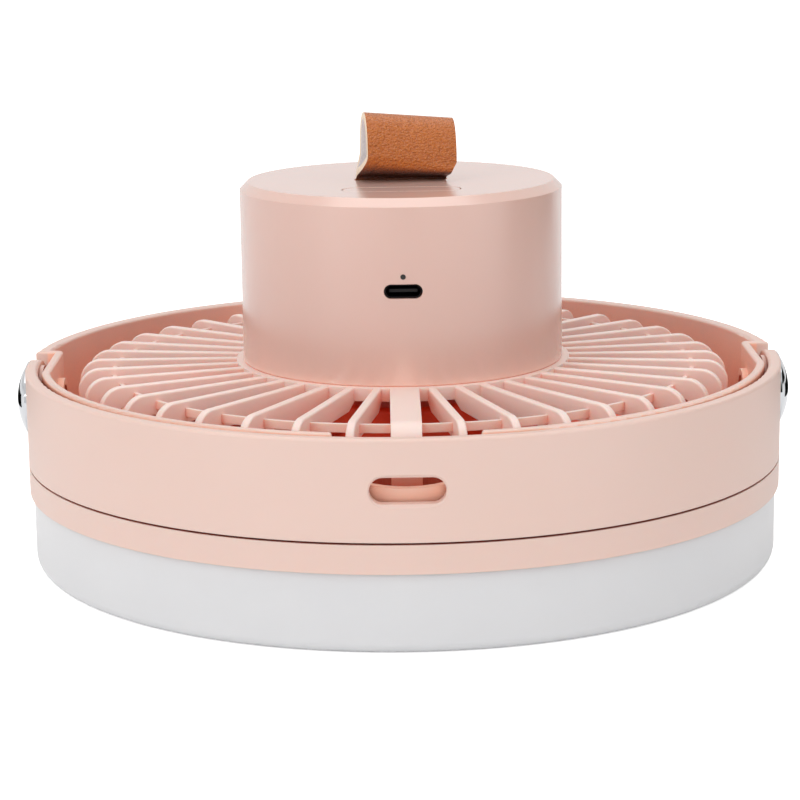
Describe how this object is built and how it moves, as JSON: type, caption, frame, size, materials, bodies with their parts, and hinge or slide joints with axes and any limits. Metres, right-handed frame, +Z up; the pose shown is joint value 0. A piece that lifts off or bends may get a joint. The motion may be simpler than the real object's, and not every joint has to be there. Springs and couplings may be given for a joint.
{
  "type": "camping fan lamp",
  "caption": "Round portable camping fan with a white ring lamp, nested swing stand with a hanging slot, radial rear grille, battery hub and leather loop.",
  "frame": {"origin": "middle of the lamp ring's resting face, under the middle of the whole object's box", "axes": "+Z up, from the lamp side to the hub; +X along the stand's hinge, left cap to right cap; -Y towards the stand's hanging slot and the charging port"},
  "size_m": [0.196, 0.19, 0.1107],
  "materials": {
    "pink_abs": "fine satin moulded ABS, blush pink",
    "pink_gloss_abs": "smooth moulded ABS, blush pink, low gloss",
    "opal_diffuser": "opal polycarbonate light diffuser, satin",
    "white_board": "white solder mask",
    "led_chip": "yellow phosphor",
    "tan_leather": "pebbled tan leather with a pale suede back",
    "steel": "plated steel",
    "black_plastic": "moulded black plastic",
    "green_board": "green solder mask",
    "smoked_clear": "dark clear light pipe, unlit",
    "cell_sleeve": "shrink sleeve",
    "ferrite": "sintered magnet",
    "bronze": "sintered bronze",
    "brass": "turned brass",
    "chrome_plate": "bright chrome plate",
    "nylon": "natural nylon",
    "lead_insulation": "flexible insulation"
  },
  "bodies": {
    "casing": {"main_casing": "pink_abs", "diffuser_ring": "opal_diffuser", "led_board": "white_board", "led_chips": "led_chip", "front_grille": "pink_abs", "front_cap": "pink_abs", "rear_grille": "pink_abs", "hub_shell": "pink_gloss_abs", "leather_strap": "tan_leather", "strap_pin": "steel", "key_switch": "black_plastic", "main_board": "green_board", "board_components": "black_plastic", "usb_c_socket": "steel", "usb_c_tongue": "black_plastic", "charge_led": "led_chip", "indicator_light_pipe": "smoked_clear", "battery_cradle": "black_plastic", "battery_cell_front": "cell_sleeve", "battery_cell_rear": "cell_sleeve", "cell_tabs": "steel", "motor_can": "steel", "motor_end_cap": "black_plastic", "motor_magnets": "ferrite", "motor_bushes": "bronze", "lamp_lead": "lead_insulation", "motor_lead": "lead_insulation", "battery_leads": "lead_insulation", "pivot_screw_left": "steel", "pivot_screw_right": "steel", "pivot_insert_left": "brass", "pivot_insert_right": "brass", "friction_washer_left": "nylon", "friction_washer_right": "nylon", "deck_screws": "steel", "basket_screws": "steel", "outlet_screws": "steel", "board_screws": "steel", "motor_screws": "steel"},
    "stand": {"swing_stand": "pink_abs", "pivot_cap_left": "chrome_plate", "pivot_cap_right": "chrome_plate"},
    "rotor": {"fan_rotor": "pink_abs", "rotor_nut": "steel", "motor_shaft": "steel", "motor_armature": "steel"},
    "key": {"speed_key": "pink_gloss_abs", "switch_plunger": "black_plastic"}
  },
  "joints": [
    {"name": "stand_swing", "type": "hinge", "parent": "casing", "child": "stand", "pos_m": [0, 0, 0.0395], "axis": [-1, 0, 0], "range_deg": [0, 90]},
    {"name": "rotor_spin", "type": "hinge", "parent": "casing", "child": "rotor", "pos_m": [0, 0, 0.03], "axis": [0, 0, 1], "continuous": true},
    {"name": "key_press", "type": "slide", "parent": "casing", "child": "key", "axis": [0, 0, -1], "range_m": [0, 0.0006], "stiffness_N_per_m": 3000, "springref_m": -0.0001}
  ]
}
